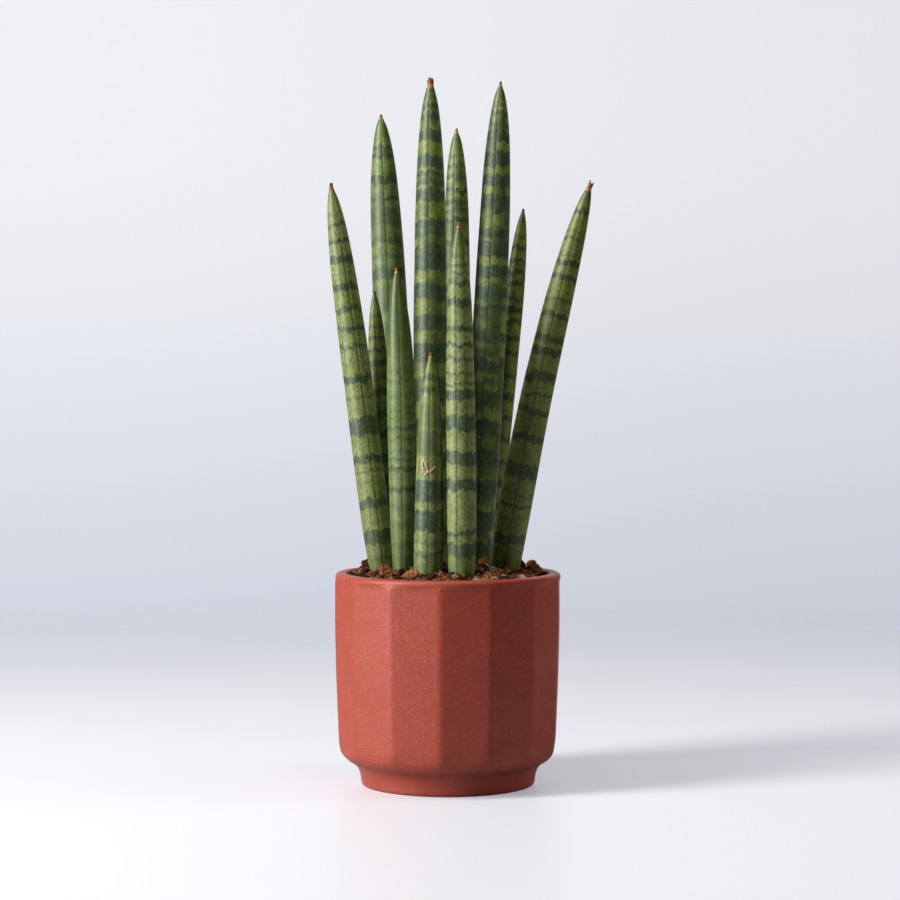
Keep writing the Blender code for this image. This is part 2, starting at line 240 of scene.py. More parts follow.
SPLINTERS = {
    "leaf_05": (
        Splinter((-0.0011, 0.0000, -0.0050), (-0.0017, -0.0004, -0.0016), 0.00080),
        Splinter((0.0000, -0.0003, -0.0050), (-0.0002, -0.0002, 0.0008), 0.00075),
        Splinter((0.0008, 0.0002, -0.0050), (0.0021, 0.0000, -0.0008), 0.00080),
        Splinter((0.0002, 0.0010, -0.0050), (0.0005, 0.0014, -0.0012), 0.00080),
    ),
    "leaf_11": (
        Splinter((-0.0006, -0.0003, -0.0040), (-0.0002, -0.0004, 0.0020), 0.00085),
        Splinter((0.0004, 0.0002, -0.0040), (0.0022, 0.0003, 0.0010), 0.00075),
        Splinter((-0.0004, 0.0008, -0.0040), (-0.0006, 0.0011, 0.0000), 0.00070),
    ),
}


# Small helpers


def smoothstep(low, high, value):
    share = min(max((value - low) / (high - low), 0.0), 1.0)
    return share * share * (3.0 - 2.0 * share)


def arc(center, radius, start, end, steps):
    """Points of an arc in the X-Z plane, its angles in degrees."""
    points = []
    for step in range(steps + 1):
        angle = math.radians(start + (end - start) * step / steps)
        points.append((center[0] + radius * math.cos(angle), center[1] + radius * math.sin(angle)))
    return points


def flowing(points, steps):
    """A smooth curve through a few points, as a list of points."""
    ends = [points[0]] + list(points) + [points[-1]]
    curve = []
    for before, start, end, after in zip(ends, ends[1:], ends[2:], ends[3:]):
        for step in range(steps):
            t = step / steps
            near = [Vector(point) for point in (before, start, end, after)]
            straight = near[1] * 2.0 + (near[2] - near[0]) * t
            bent = (near[0] * 2.0 - near[1] * 5.0 + near[2] * 4.0 - near[3]) * t * t
            twisted = (near[1] * 3.0 - near[0] - near[2] * 3.0 + near[3]) * t ** 3
            curve.append(tuple((straight + bent + twisted) * 0.5))
    return curve + [tuple(points[-1])]


def new_mesh(name, shape):
    """Turn a bmesh into a mesh, and free it."""
    mesh = bpy.data.meshes.new(name)
    shape.to_mesh(mesh)
    shape.free()
    return mesh


def new_object(name, data):
    made = bpy.data.objects.new(name, data)
    bpy.context.scene.collection.objects.link(made)
    return made


def finish_piece(name, shape, material, replaced, sharp=40.0):
    """Turn a bmesh into a finished piece that rides on the plant and stands for a solid."""
    mesh = new_mesh(name, shape)
    mesh.materials.append(material)
    mesh.shade_smooth()
    mesh.set_sharp_from_angle(angle=math.radians(sharp))
    piece = new_object(name, mesh)
    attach(piece, "root")
    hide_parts(replaced)
    return piece


def add_rod(shape, sides, rings, place):
    """Add a capped cylinder, cut into rings, whose points go where place(share, angle) says.

    The skin map keeps each corner's share of the way round and along.
    """
    skin = shape.loops.layers.uv.get("skin") or shape.loops.layers.uv.new("skin")
    placed = shape.verts.layers.int.get("placed") or shape.verts.layers.int.new("placed")
    bmesh.ops.create_cone(shape, cap_ends=True, segments=sides, radius1=1.0, radius2=1.0, depth=1.0)
    uprights = []
    for edge in shape.edges:
        low, high = edge.verts
        if not low[placed] and abs(low.co.z - high.co.z) > 0.5:
            uprights.append(edge)
    bmesh.ops.subdivide_edges(shape, edges=uprights, cuts=rings - 1)
    verts = [vert for vert in shape.verts if not vert[placed]]
    faces = [face for face in shape.faces if not face.verts[0][placed]]
    for face in faces:
        middle = face.calc_center_median()
        facing = math.atan2(middle.x, middle.y)
        for loop in face.loops:
            angle = math.atan2(loop.vert.co.x, loop.vert.co.y)
            angle -= math.tau * round((angle - facing) / math.tau)
            loop[skin].uv = ((angle + math.pi) / math.tau, loop.vert.co.z + 0.5)
    for vert in verts:
        vert[placed] = 1
        vert.co = place(vert.co.z + 0.5, math.atan2(vert.co.x, vert.co.y))
    bmesh.ops.recalc_face_normals(shape, faces=faces)
    return faces


# Leaves


def axis_point(leaf, share):
    """A point of the leaf's axis: share 0 at the mix, 1 at the tip, and below 0 under the mix."""
    root = Vector((*leaf.root, MIX_PLANE))
    straight = Vector(leaf.tip) - root
    bend = 4.0 * share * (1.0 - share) if share > 0.0 else 4.0 * share
    return root + straight * share + Vector((leaf.bow * bend, 0.0, 0.0))


def axis_length(leaf):
    return (Vector(leaf.tip) - Vector((*leaf.root, MIX_PLANE))).length


def axis_frame(leaf, share):
    """The axis' direction at a share, with the directions to its right and to its front."""
    step = 0.01
    along = (axis_point(leaf, share + step) - axis_point(leaf, share - step)).normalized()
    side = along.cross(Vector((0.0, -1.0, 0.0))).normalized()
    return along, side, side.cross(along)


def leaf_radius(leaf, share):
    """Mean radius at a share of the axis: a spindle that swells from the tip and necks in at the mix."""
    length = axis_length(leaf)
    from_tip = (1.0 - share) * length
    height = max(share, 0.0) * length
    swell = 1.0 - (1.0 + from_tip / leaf.taper) ** -TAPER_POWER
    neck = 1.0 - leaf.neck * math.exp(-height / leaf.neck_height)
    radius = leaf.blunt + (leaf.girth - leaf.blunt) * swell * neck
    above_end = share * length + ROOT_DEPTH
    if above_end < ROOT_ROUND:
        radius *= math.sqrt(max(1.0 - (1.0 - above_end / ROOT_ROUND) ** 2, 0.08))
    return radius


def seam_angle(leaf):
    """Direction of the groove nearest to the leaf's back."""
    panel = math.tau / leaf.ribs
    turn = math.radians(leaf.turn)
    return turn + panel * round((-0.5 * math.pi - turn) / panel)


def panel_place(leaf, around):
    """Panel coordinate at an even share of the way round: whole numbers are grooves."""
    panels = around * leaf.ribs
    whole = math.floor(panels)
    inside = panels - whole
    if inside < 0.5:
        return whole + 0.5 * (2.0 * inside) ** SIDE_CROWDING
    return whole + 1.0 - 0.5 * (2.0 - 2.0 * inside) ** SIDE_CROWDING


def tip_distance(leaf, along):
    """Distance from the tip at an even share of the way from root to tip."""
    return (axis_length(leaf) + ROOT_DEPTH) * (1.0 - along) ** RING_CROWDING


def main_groove(leaf):
    """Number of the groove that faces the front, counted round from the one at the back."""
    return (leaf.ribs + 1) // 2


def groove_depth(leaf, marking, panels, from_tip, radius):
    """Depth of the skin's grooves at a panel coordinate."""
    nearest = round(panels)
    panel_width = math.tau * radius / leaf.ribs
    away = abs(panels - nearest) * panel_width
    which = nearest % leaf.ribs
    strength = 0.45 + 0.5 * noise.noise(Vector((which * 3.7 + marking.seed, from_tip * 9.0, 0.0)))
    if which == main_groove(leaf):
        strength = MAIN_GROOVE
    valley = VALLEY_DEPTH * math.exp(-((away / (0.28 * panel_width)) ** 2))
    crease = CREASE_DEPTH * math.exp(-((away / CREASE_WIDTH) ** 2))
    fade = smoothstep(marking.dry_length, GROOVE_FADE, from_tip)
    return (valley + crease) * strength * fade * min(radius / THIN_LEAF, 1.0)


def skin_point(leaf, marking, along, around):
    """A point of the finished skin, at even shares along and round the leaf."""
    length = axis_length(leaf)
    from_tip = tip_distance(leaf, along)
    share = 1.0 - from_tip / length
    panels = panel_place(leaf, around)
    angle = seam_angle(leaf) + math.tau * panels / leaf.ribs
    _, side, front = axis_frame(leaf, share)
    green = leaf_radius(leaf, share)
    dryness = math.exp(-((from_tip / (1.25 * marking.dry_length)) ** 2))
    nail = marking.nail * (0.75 + 0.30 * min(from_tip / marking.dry_length, 1.0))
    radius = green + (nail - green) * dryness
    radius *= math.sqrt(max(1.0 - (1.0 - min(from_tip / POINT_ROUND, 1.0)) ** 2, 0.05))
    outward = side * math.cos(angle) + front * math.sin(angle)
    slow = Vector((outward.x, outward.y, from_tip * 26.0)) + Vector((marking.seed, 0.0, 0.0))
    radius += WAVER * noise.noise(slow) * min(radius / THIN_LEAF, 1.0)
    crumple = Vector((outward.x * 2.0, outward.y * 2.0, from_tip * 900.0 + marking.seed))
    radius *= 1.0 + 0.22 * noise.noise(crumple) * dryness
    radius -= groove_depth(leaf, marking, panels, from_tip, radius)
    dry_share = max(1.0 - from_tip / marking.dry_length, 0.0)
    center = axis_point(leaf, share) + side * marking.dry_bend * dry_share ** 2
    return center + outward * radius


def add_splinter(shape, leaf, splinter):
    """Add one lobe of a torn dry tip."""
    direction, side, front = axis_frame(leaf, 1.0)
    tip = Vector(leaf.tip)

    def spot(place):
        return tip + side * place[0] - front * place[1] + direction * place[2]

    foot = spot(splinter.foot)
    end = spot(splinter.end)

    def place(share, angle):
        center = foot.lerp(end, share) + side * 0.0003 * math.sin(share * 5.0)
        radius = splinter.radius * (1.15 - 0.5 * share) * math.sqrt(max(1.0 - share ** 6, 0.05))
        outward = side * math.cos(angle) + front * math.sin(angle)
        lumps = noise.noise((center + outward * 0.001) * 900.0)
        return center + outward * radius * (1.0 + 0.45 * lumps)

    faces = add_rod(shape, 14, 12, place)
    skin = shape.loops.layers.uv["skin"]
    for face in faces:
        for loop in face.loops:
            loop[skin].uv = (loop[skin].uv.x, 0.003 * (1.0 - loop[skin].uv.y))


def build_leaf(name, leaf, marking):
    shape = bmesh.new()

    def place(share, angle):
        return skin_point(leaf, marking, share, (angle + math.pi) / math.tau)

    faces = add_rod(shape, leaf.ribs * SIDES_PER_PANEL, RINGS, place)
    skin = shape.loops.layers.uv["skin"]
    for face in faces:
        for loop in face.loops:
            around, along = loop[skin].uv
            loop[skin].uv = (panel_place(leaf, around), tip_distance(leaf, along))
    for splinter in SPLINTERS.get(name, ()):
        add_splinter(shape, leaf, splinter)
    material = leaf_material(name, leaf, marking)
    return finish_piece(f"{name}_skin", shape, material, name, sharp=60.0)


# The corky scar on a leaf: routes of its ridges, as millimetres to the right of the axis and from the tip
SCARRED_LEAF = "leaf_06"
SCAR_RIDGES = (
    ((-3.3, 67.6), (-4.4, 71.0), (-4.7, 73.5), (-3.3, 76.6), (-2.1, 78.3)),
    ((-3.2, 69.6), (-2.1, 72.8), (-1.1, 75.9), (-1.2, 77.4)),
    ((-2.6, 77.8), (-0.8, 77.6), (1.3, 76.4), (3.0, 74.5), (3.9, 74.1)),
    ((-3.0, 77.0), (-2.6, 79.6)),
)
SCAR_RADIUS = 0.00056


def front_spot(leaf, across, from_tip):
    """A point on the front of the leaf, with the directions out of the skin and up along it."""
    share = 1.0 - from_tip / axis_length(leaf)
    direction, side, front = axis_frame(leaf, share)
    radius = leaf_radius(leaf, share)
    outward = (side * across + front * math.sqrt(radius * radius - across * across)) / radius
    return axis_point(leaf, share) + outward * radius, outward, direction


def ridge_point(leaf, route, number, share, angle):
    """A point of the scar's ridge of that number, at a share of its route and an angle round it."""
    spot = min(int(share * (len(route) - 1)), len(route) - 2)
    part = share * (len(route) - 1) - spot
    start, end = Vector(route[spot]), Vector(route[spot + 1])
    across, from_tip = start.lerp(end, part) * MILLIMETRE
    center, outward, up = front_spot(leaf, across, from_tip)
    ahead = end - start
    right = up.cross(outward)
    sideways = (right * ahead.y + up * ahead.x).normalized()
    near = center + outward * math.sin(angle) * 0.001
    lumps = noise.noise(near * 1400.0 + Vector((number, 0.0, 0.0)))
    taper = math.sqrt(max(1.0 - abs(2.0 * share - 1.0) ** 5, 0.10))
    radius = SCAR_RADIUS * taper * (1.0 + 1.1 * lumps)
    return center + (sideways * math.cos(angle) + outward * 0.8 * math.sin(angle)) * radius


def build_scar():
    leaf = LEAVES[SCARRED_LEAF]
    shape = bmesh.new()
    for number, ridge in enumerate(SCAR_RIDGES):
        add_rod(shape, 16, 40, partial(ridge_point, leaf, flowing(ridge, 6), number))
    finish_piece(f"{SCARRED_LEAF}_scar", shape, scar_material(), SCARRED_LEAF, sharp=50.0)


# Materials


def connect(tree, value, socket):
    """Join a socket to another, or set it to a plain value."""
    if isinstance(value, bpy.types.NodeSocket):
        tree.links.new(value, socket)
    elif hasattr(value, "__len__") and len(value) == 3 and socket.type == "RGBA":
        socket.default_value = (*value, 1.0)
    else:
        socket.default_value = value


def add_node(tree, kind, settings=None, **sockets):
    """Add a shader node. Keywords name its sockets, with underscores for spaces."""
    made = tree.nodes.new("ShaderNode" + kind)
    for name, value in (settings or {}).items():
        setattr(made, name, value)
    for name, value in sockets.items():
        connect(tree, value, made.inputs[name.replace("_", " ")])
    return made


def calculate(tree, operation, *values):
    made = tree.nodes.new("ShaderNodeMath")
    made.operation = operation
    for socket, value in zip(made.inputs, values):
        connect(tree, value, socket)
    return made.outputs[0]


def multiply(tree, first, second):
    return calculate(tree, "MULTIPLY", first, second)


def ease(tree, value, low, high, start=0.0, end=1.0):
    """A smooth step from start to end as the value goes from low to high."""
    made = add_node(tree, "MapRange", {"interpolation_type": "SMOOTHSTEP"}, Value=value)
    for name, number in (("From Min", low), ("From Max", high), ("To Min", start), ("To Max", end)):
        connect(tree, number, made.inputs[name])
    return made.outputs[0]


def blend_colors(tree, factor, first, second, blend_type="MIX"):
    made = tree.nodes.new("ShaderNodeMix")
    made.data_type = "RGBA"
    made.blend_type = blend_type
    connect(tree, factor, made.inputs[0])
    connect(tree, first, made.inputs[6])
    connect(tree, second, made.inputs[7])
    return made.outputs[2]


def combine(tree, x, y, z=0.0):
    made = tree.nodes.new("ShaderNodeCombineXYZ")
    for socket, value in zip(made.inputs, (x, y, z)):
        connect(tree, value, socket)
    return made.outputs[0]


def grain(tree, vector, scale, detail=2.0, roughness=0.5, distortion=0.0):
    """Noise from 0 to 1 on a vector."""
    made = add_node(tree, "TexNoise", {"noise_dimensions": "3D"}, Vector=vector, Scale=scale)
    made.inputs["Detail"].default_value = detail
    made.inputs["Roughness"].default_value = roughness
    made.inputs["Distortion"].default_value = distortion
    return made.outputs[0]


def new_group(name, inputs, outputs):
    """A shader node group with float inputs and outputs, its entry and its exit."""
    group = bpy.data.node_groups.new(name, "ShaderNodeTree")
    for label, default in inputs.items():
        socket = group.interface.new_socket(label, in_out="INPUT", socket_type="NodeSocketFloat")
        socket.default_value = default
    for label in outputs:
        group.interface.new_socket(label, in_out="OUTPUT", socket_type="NodeSocketFloat")
    entry = group.nodes.new("NodeGroupInput")
    leave = group.nodes.new("NodeGroupOutput")
    return group, entry.outputs, leave.inputs


def place_group(tree, group, **values):
    made = tree.nodes.new("ShaderNodeGroup")
    made.node_tree = group
    for name, value in values.items():
        connect(tree, value, made.inputs[name.replace("_", " ")])
    return made.outputs


def new_material(name):
    """A material, its nodes, its shader's sockets and the place on the piece."""
    material = bpy.data.materials.new(name)
    material.use_nodes = True
    tree = material.node_tree
    place = add_node(tree, "TexCoord").outputs["Object"]
    return material, tree, tree.nodes["Principled BSDF"].inputs, place


def add_bump(tree, shader, height, **values):
    """Roughen a surface by a height. The values are the bump's strength and distance."""
    bump = add_node(tree, "Bump", Height=height, **values)
    connect(tree, bump.outputs[0], shader["Normal"])


def waver(tree, noise_value, size, start=0.0):
    """Swing a noise value about a start, by its size."""
    return calculate(tree, "MULTIPLY_ADD", calculate(tree, "SUBTRACT", noise_value, 0.5), size, start)


def skin_noise(tree, from_tip, panels, per_panel, per_metre, seed, detail=1.0, roughness=0.5):
    """Noise on the leaf's skin, with its own fineness across the panels and along the leaf."""
    across = multiply(tree, panels, per_panel)
    along = multiply(tree, from_tip, per_metre)
    return grain(tree, combine(tree, across, along, seed), 1.0, detail, roughness)


def markings_group():
    """Where a leaf's bands, streaks, flecks, groove lines of painted shade and dried point lie on its skin.
    """
    defaults = {"Seed": 0.0, "Step": 0.003, "Broken": 0.2, "Main groove": 3.0, "Dry length": 0.004}
    results = (
        "Band place", "Lost", "Streaks", "Flecks", "Pale", "Specks", "Groove shade", "Dry", "Dry share", "From tip",
    )
    group, given, out = new_group("leaf markings", defaults, results)
    uv = add_node(group, "UVMap", {"uv_map": "skin"}).outputs[0]
    split = add_node(group, "SeparateXYZ", Vector=uv).outputs
    panels, from_tip = split[0], split[1]
    panel = calculate(group, "FLOOR", panels)
    inside = calculate(group, "SUBTRACT", panels, panel)
    seed = given["Seed"]

    skin = partial(skin_noise, group, from_tip)
    steps = skin(panel, 7.31, 28.0, seed)
    lobes = skin(panels, 2.6, 55.0, seed)
    teeth = skin(panels, 7.0, 120.0, seed, 2.0)
    flecks = skin(panels, 11.0, 520.0, seed, 3.0, 0.6)
    shift = multiply(group, calculate(group, "SUBTRACT", steps, 0.5), given["Step"])
    place = calculate(group, "MULTIPLY_ADD", shift, 2.2, from_tip)
    place = waver(group, lobes, 0.0075, place)
    place = waver(group, teeth, 0.0024, place)
    place = waver(group, flecks, 0.0036, place)
    connect(group, place, out["Band place"])

    patches = skin_noise(group, place, panel, 3.71, 75.0, calculate(group, "ADD", seed, 57.0))
    connect(group, multiply(group, ease(group, patches, 0.44, 0.58), given["Broken"]), out["Lost"])
    fibres = skin(panels, 9.0, 60.0, seed, 3.0, 0.65)
    wisps = skin(panels, 22.0, 8.0, seed, 2.0)
    connect(group, calculate(group, "MULTIPLY_ADD", wisps, 0.5, multiply(group, fibres, 0.5)), out["Streaks"])
    connect(group, flecks, out["Flecks"])
    pale = skin(panels, 1.1, 45.0, calculate(group, "ADD", seed, 83.0), 2.0)
    connect(group, ease(group, pale, 0.38, 0.62), out["Pale"])
    spots = skin(panels, 30.0, 420.0, seed)
    connect(group, ease(group, spots, 0.70, 0.78), out["Specks"])

    # Groove lines that carry painted shade: strongest at the groove in front, fading out towards the tip
    edge = calculate(group, "MINIMUM", inside, calculate(group, "SUBTRACT", 1.0, inside))
    nearest = calculate(group, "ROUND", panels)
    from_main = calculate(group, "ABSOLUTE", calculate(group, "SUBTRACT", nearest, given["Main groove"]))
    faint = ease(group, skin(nearest, 5.13, 14.0, seed), 0.38, 0.62, 0.05, 0.50)
    strength = calculate(group, "MAXIMUM", faint, calculate(group, "SUBTRACT", 1.0, from_main))
    line = multiply(group, ease(group, edge, 0.005, 0.090, 1.0, 0.0), strength)
    connect(group, multiply(group, line, ease(group, from_tip, 0.008, 0.030)), out["Groove shade"])

    ragged = waver(group, wisps, 0.0022, from_tip)
    dry_start = multiply(group, given["Dry length"], 0.93)
    dry_end = multiply(group, given["Dry length"], 1.12)
    connect(group, ease(group, ragged, dry_start, dry_end, 1.0, 0.0), out["Dry"])
    connect(group, calculate(group, "DIVIDE", from_tip, given["Dry length"]), out["Dry share"])
    connect(group, from_tip, out["From tip"])
    return group


BAND_SOFTNESS = 0.0012        # half the width of a band's blurred edge
BAND_SPREAD = 0.0002          # added to half of every band's width, for its ragged edges
TIP_AMOUNT = 0.72             # how fully the plain green covers the tip


def band_group():
    """One dark band added to the level of those before it."""
    defaults = {"Level": 0.0, "Place": 0.0, "Middle": 0.05, "Half width": 0.002, "Strength": 1.0}
    group, given, out = new_group("one dark band", defaults, ("Level",))
    away = calculate(group, "ABSOLUTE", calculate(group, "SUBTRACT", given["Place"], given["Middle"]))
    inner = calculate(group, "ADD", given["Half width"], BAND_SPREAD - BAND_SOFTNESS)
    outer = calculate(group, "ADD", given["Half width"], BAND_SPREAD + BAND_SOFTNESS)
    band = multiply(group, ease(group, away, inner, outer, 1.0, 0.0), given["Strength"])
    connect(group, calculate(group, "MAXIMUM", given["Level"], band), out["Level"])
    return group


def all_bands(name, leaf):
    """The bands that show, carried on evenly down to the mix where other leaves hide this one."""
    bands = list(BANDS[name])
    spacing = max((bands[-1][0] - bands[-4][0]) / 3.0, HIDDEN_SPACING)
    length = axis_length(leaf) / MILLIMETRE
    while bands[-1][0] + 1.5 * spacing < length:
        middle, half, strength = bands[-1]
        bands.append((middle + spacing, half, strength))
    return bands


def tinted(color, shares):
    return tuple(part * share for part, share in zip(color, shares))


def shaded(tree, color, value, low, high, darkest, lightest):
    """Multiply a colour by a grey that follows a value."""
    grey = ease(tree, value, low, high, darkest, lightest)
    return blend_colors(tree, 1.0, color, combine(tree, grey, grey, grey), "MULTIPLY")


def leaf_material(name, leaf, marking):
    material, tree, shader, place = new_material(f"{name}_waxy_skin")
    marks = place_group(
        tree,
        MARKS,
        Seed=marking.seed,
        Step=marking.step,
        Broken=marking.broken,
        Main_groove=main_groove(leaf),
        Dry_length=marking.dry_length,
    )
    mottle = grain(tree, place, 160.0, 4.0, 0.6)

    level = marks["Lost"]
    for middle, half, strength in all_bands(name, leaf):
        level = place_group(
            tree,
            ONE_BAND,
            Level=level,
            Place=marks["Band place"],
            Middle=middle * MILLIMETRE,
            Half_width=half * MILLIMETRE,
            Strength=strength,
        )["Level"]
    level = ease(tree, level, 0.05, 0.72)
    dark_flecks = multiply(tree, ease(tree, marks["Flecks"], 0.49, 0.60), 0.62)
    pale_flecks = multiply(tree, ease(tree, marks["Flecks"], 0.48, 0.37), 0.45)
    level = calculate(tree, "MAXIMUM", level, dark_flecks)
    level = multiply(tree, level, calculate(tree, "SUBTRACT", 1.0, pale_flecks))

    light = blend_colors(tree, marks["Pale"], tinted(marking.light, (0.84, 0.90, 0.60)), marking.light)
    deepest, brightest = (tinted(marking.dark, (share, share, share)) for share in (0.6, 1.5))
    dark = blend_colors(tree, mottle, deepest, brightest)
    color = blend_colors(tree, level, light, dark)

    plain_end = marking.plain * 1.4 + 0.004
    tip_green = ease(tree, marks["From tip"], marking.plain * 0.7, plain_end, TIP_AMOUNT, 0.0)
    color = blend_colors(tree, tip_green, color, marking.fresh)
    length = axis_length(leaf)
    foot_green = ease(tree, marks["From tip"], length - 0.030, length, 0.0, 0.45)
    color = blend_colors(tree, foot_green, color, FOOT_GREEN)

    color = shaded(tree, color, marks["Streaks"], 0.30, 0.70, 0.80, 1.18)
    color = shaded(tree, color, mottle, 0.30, 0.70, 0.84, 1.14)
    # Painted shade: the groove lines darkened towards a dark green
    color = blend_colors(tree, multiply(tree, marks["Groove shade"], 0.72), color, PAINTED_GROOVE_SHADE)
    color = blend_colors(tree, multiply(tree, marks["Specks"], 0.35), color, SPECK)

    end_color = tuple(min(1.8 * part + extra, 1.0) for part, extra in zip(marking.dry, (0.20, 0.07, 0.02)))
    dried = blend_colors(tree, ease(tree, marks["Dry share"], 0.35, 0.95), marking.dry, end_color)
    crust = grain(tree, place, 1900.0, 3.0, 0.7)
    dried = blend_colors(tree, ease(tree, crust, 0.35, 0.58, 0.50, 0.0), dried, CRUST)
    color = blend_colors(tree, marks["Dry"], color, dried)

    connect(tree, color, shader["Base Color"])
    waxy = ease(tree, marks["Streaks"], 0.30, 0.70, 0.54, 0.44)
    waxy = ease(tree, tip_green, 0.0, TIP_AMOUNT, waxy, 0.40)
    connect(tree, ease(tree, marks["Dry"], 0.0, 1.0, waxy, 0.85), shader["Roughness"])
    shader["Specular IOR Level"].default_value = 0.7
    shader["Coat Weight"].default_value = 0.30
    shader["Coat Roughness"].default_value = 0.46

    fibres = calculate(tree, "MULTIPLY_ADD", mottle, 0.35, marks["Streaks"])
    fresh_height, dry_height = (combine(tree, value, value, value) for value in (fibres, crust))
    rough = blend_colors(tree, marks["Dry"], fresh_height, dry_height)
    add_bump(tree, shader, rough, Strength=0.22, Distance=0.0006)
    return material


SCRATCH_LEANS = (math.radians(35.0), math.radians(-25.0), math.radians(75.0))


def clay_material():
    """Matte red clay with a fine tooth, faint clouds, short pale scratches and small dark pits, and a painted
    highlight along the lip's inner edge.
    """
    material, tree, shader, place = new_material("red_clay_fired")
    split = add_node(tree, "SeparateXYZ", Vector=place).outputs
    clouds = grain(tree, place, 38.0, 5.0, 0.6)
    tooth = grain(tree, place, 1000.0, 3.0, 0.6)
    color = blend_colors(tree, ease(tree, clouds, 0.25, 0.75), (0.45, 0.068, 0.038), (0.49, 0.080, 0.047))
    color = shaded(tree, color, tooth, 0.35, 0.65, 0.90, 1.10)

    scratches = 0.0
    for lean in SCRATCH_LEANS:
        slanted = add_node(tree, "Mapping", Vector=place)
        slanted.inputs["Rotation"].default_value = (0.0, lean, 0.0)
        stretched = add_node(tree, "Mapping", Vector=slanted.outputs[0])
        stretched.inputs["Scale"].default_value = (1500.0, 600.0, 380.0)
        family = ease(tree, grain(tree, stretched.outputs[0], 1.0, 1.0, 0.5), 0.61, 0.74)
        scratches = calculate(tree, "MAXIMUM", family, scratches)
    color = blend_colors(tree, multiply(tree, scratches, 0.16), color, (0.80, 0.40, 0.33))
    pits = ease(tree, grain(tree, place, 520.0, 1.0), 0.24, 0.31, 1.0, 0.0)
    color = blend_colors(tree, multiply(tree, pits, 0.25), color, (0.16, 0.030, 0.020))

    squares = [multiply(tree, split[axis], split[axis]) for axis in (0, 1)]
    radius = calculate(tree, "SQRT", calculate(tree, "ADD", *squares))
    # Painted highlight: a brighter orange-red line along the inner edge of the lip
    near_mouth = ease(tree, radius, WALL_INNER_RADIUS + 0.0001, WALL_INNER_RADIUS + 0.0012, 1.0, 0.0)
    at_lip = ease(tree, split[2], POT_HEIGHT - 0.0022, POT_HEIGHT - 0.0006)
    lip_edge_highlight = multiply(tree, near_mouth, at_lip)
    color = blend_colors(tree, multiply(tree, lip_edge_highlight, 0.85), color, (0.74, 0.15, 0.07))

    connect(tree, color, shader["Base Color"])
    satin = ease(tree, clouds, 0.30, 0.70, 0.50, 0.42)
    on_lip = ease(tree, split[2], POT_HEIGHT - LIP_ROUND, POT_HEIGHT - 0.0010)
    connect(tree, ease(tree, on_lip, 0.0, 1.0, satin, 0.36), shader["Roughness"])
    shader["Specular IOR Level"].default_value = 0.5
    height = calculate(tree, "MULTIPLY_ADD", scratches, 0.3, tooth)
    add_bump(tree, shader, height, Strength=0.34, Distance=0.0006)
    return material


BARK_TONES = (
    (0.00, (0.010, 0.005, 0.003)),
    (0.16, (0.036, 0.015, 0.008)),
    (0.34, (0.110, 0.042, 0.017)),
    (0.52, (0.300, 0.105, 0.032)),
    (0.70, (0.560, 0.215, 0.065)),
    (0.80, (0.480, 0.280, 0.160)),
    (0.90, (0.460, 0.370, 0.280)),
    (1.00, (0.640, 0.510, 0.400)),
)


def bark_material():
    """Crumbly bark, pumice and crumbs: each lump has its own tone, broken up by grain and dark pores."""
    material, tree, shader, place = new_material("potting_mix_lumps")
    tone = add_node(tree, "Attribute", {"attribute_name": "tone"}).outputs["Fac"]
    crumb = grain(tree, place, 700.0, 4.0, 0.7)
    patch = grain(tree, place, 260.0, 2.0)
    shade = waver(tree, patch, 0.40, waver(tree, crumb, 0.60, tone))
    ramp = tree.nodes.new("ShaderNodeValToRGB")
    stops = ramp.color_ramp.elements
    for number, (position, color) in enumerate(BARK_TONES):
        stop = stops[number] if number < 2 else stops.new(position)
        stop.position = position
        stop.color = (*color, 1.0)
    connect(tree, shade, ramp.inputs[0])
    pores = ease(tree, grain(tree, place, 1150.0, 2.0), 0.43, 0.55, 0.80, 0.0)
    color = blend_colors(tree, pores, ramp.outputs[0], (0.008, 0.004, 0.002))
    connect(tree, color, shader["Base Color"])
    shader["Roughness"].default_value = 0.92
    shader["Specular IOR Level"].default_value = 0.25
    add_bump(tree, shader, crumb, Strength=0.9, Distance=0.0012)
    return material


def scar_material():
    """Corky scar: pale cork, broken up with reddish brown."""
    material, tree, shader, place = new_material("leaf_06_cork")
    cork = grain(tree, place, 1100.0, 3.0, 0.65)
    color = blend_colors(tree, ease(tree, cork, 0.40, 0.54), (0.28, 0.080, 0.040), (0.90, 0.70, 0.48))
    connect(tree, color, shader["Base Color"])
    shader["Roughness"].default_value = 0.8
    add_bump(tree, shader, cork, Strength=0.4, Distance=0.0005)
    return material


# Pot


def pot_profile():
    """Half section of the pot, up its inside, over the lip and down its outside."""
    turn = (WALL_INNER_RADIUS - FLOOR_ROUND, FLOOR_HEIGHT + FLOOR_ROUND)
    inside = [(0.0, FLOOR_HEIGHT)] + arc(turn, FLOOR_ROUND, -90.0, 0.0, 8)
    inner_center = (WALL_INNER_RADIUS + LIP_INNER_ROUND, POT_HEIGHT - LIP_INNER_ROUND)
    lip_inner = arc(inner_center, LIP_INNER_ROUND, 180, 90, 6)
    lip_outer = arc((POT_RADIUS - LIP_ROUND, POT_HEIGHT - LIP_ROUND), LIP_ROUND, 90, 0, 12)
    runout = [(POT_RADIUS, FACET_TOP - 0.0007 * step) for step in range(2, 8)]
    side = flowing([(POT_RADIUS, 0.1330), (POT_RADIUS, 0.104), (0.0742, 0.070), (0.0726, 0.0300)], 4)
    roll = [side.pop(), (0.0720, BODY_FULL), (0.0708, 0.0215), (0.0676, BODY_BOTTOM), (0.0632, 0.0147)]
    foot = [(0.0606, 0.0120), (0.0594, 0.0096), (0.0583, 0.0056), (0.0578, 0.0020), (0.0570, 0.0004)]
    base = [(0.0562, 0.0), (0.0, 0.0)]
    return inside + lip_inner + lip_outer + runout + side + flowing(roll + foot, 5) + base


